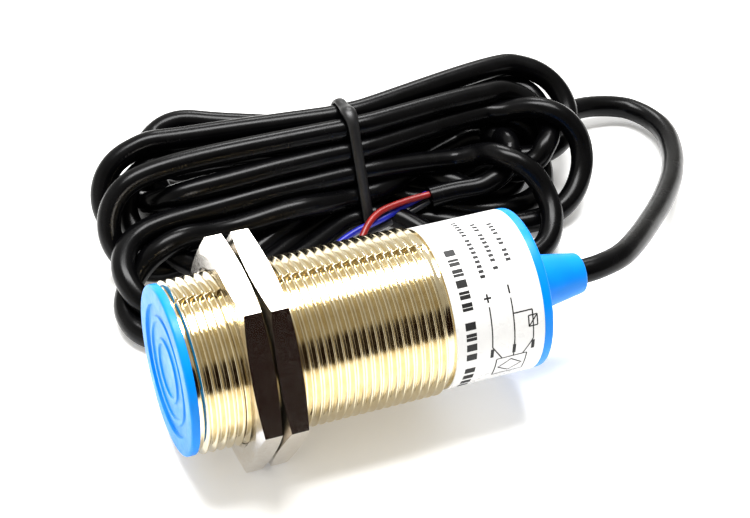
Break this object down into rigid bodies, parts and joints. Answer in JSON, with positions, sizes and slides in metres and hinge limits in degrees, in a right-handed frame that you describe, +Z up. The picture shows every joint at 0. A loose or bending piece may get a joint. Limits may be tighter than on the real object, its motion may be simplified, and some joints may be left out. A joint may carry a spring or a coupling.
{
  "type": "proximity sensor",
  "caption": "Cylindrical threaded inductive proximity sensor with blue end caps, thin lock nuts and a black cable folded into a tied hank",
  "frame": {"origin": "under the middle of the sensor, on the floor that both nuts stand on, midway between the sensing face and the tip of the cable gland", "axes": "+X along the barrel from the sensing face to the cable gland, +Z up, +Y towards the cable's hank"},
  "size_m": [0.126, 0.0913, 0.0362],
  "materials": {
    "nickel_brass": "nickel-plated turned brass thread, bright with a warm tint",
    "nut_nickel": "nickel-plated nuts, satin faces with a fine grain and bright edges",
    "blue_plastic": "satin moulded azure plastic",
    "label_film": "white printed film, satin, with plain dark bars and a wiring diagram",
    "cable_pvc": "smooth black PVC with a soft gloss",
    "tie_plastic": "black coated tie",
    "core_brown": "red-brown PVC core insulation",
    "core_blue": "blue PVC core insulation",
    "core_black": "black PVC core insulation",
    "solder": "tinned copper strands and solder",
    "ferrite": "sintered dark grey ferrite",
    "bobbin_plastic": "natural nylon",
    "copper": "enamelled copper wire",
    "board_laminate": "green solder mask on glass laminate",
    "chip_black": "black moulded electronic parts",
    "ceramic_tan": "tan ceramic and tantalum capacitors",
    "led_resin": "diffused LED resin",
    "epoxy": "black potting epoxy",
    "clamp_steel": "crimped steel ring"
  },
  "bodies": {
    "sensor": {"threaded_barrel": "nickel_brass", "label": "label_film", "face_cap": "blue_plastic", "rear_cap": "blue_plastic", "ferrite_core": "ferrite", "coil_bobbin": "bobbin_plastic", "coil_winding": "copper", "coil_leads": "copper", "circuit_board": "board_laminate", "oscillator_ic": "chip_black", "voltage_regulator": "chip_black", "output_transistor": "chip_black", "protection_diodes": "chip_black", "capacitors": "ceramic_tan", "resistors": "chip_black", "indicator_led": "led_resin", "solder_joints": "solder", "epoxy_fill": "epoxy", "cable_clamp": "clamp_steel", "cable_inside": "cable_pvc", "wire_brown": "core_brown", "wire_blue": "core_blue", "wire_black": "core_black", "cable_run": "cable_pvc", "cable_hank": "cable_pvc", "cable_tie": "tie_plastic", "cable_tail": "cable_pvc", "lead_brown": "core_brown", "lead_blue": "core_blue", "lead_black": "core_black", "tinned_ends": "solder"},
    "front_nut": {"front_nut": "nut_nickel"},
    "rear_nut": {"rear_nut": "nut_nickel"}
  },
  "joints": [
    {"name": "front_nut_travel", "type": "slide", "parent": "sensor", "child": "front_nut", "axis": [-1, 0, 0], "range_m": [0, 0.0084]},
    {"name": "rear_nut_travel", "type": "slide", "parent": "sensor", "child": "rear_nut", "axis": [1, 0, 0], "range_m": [0, 0.027]}
  ]
}
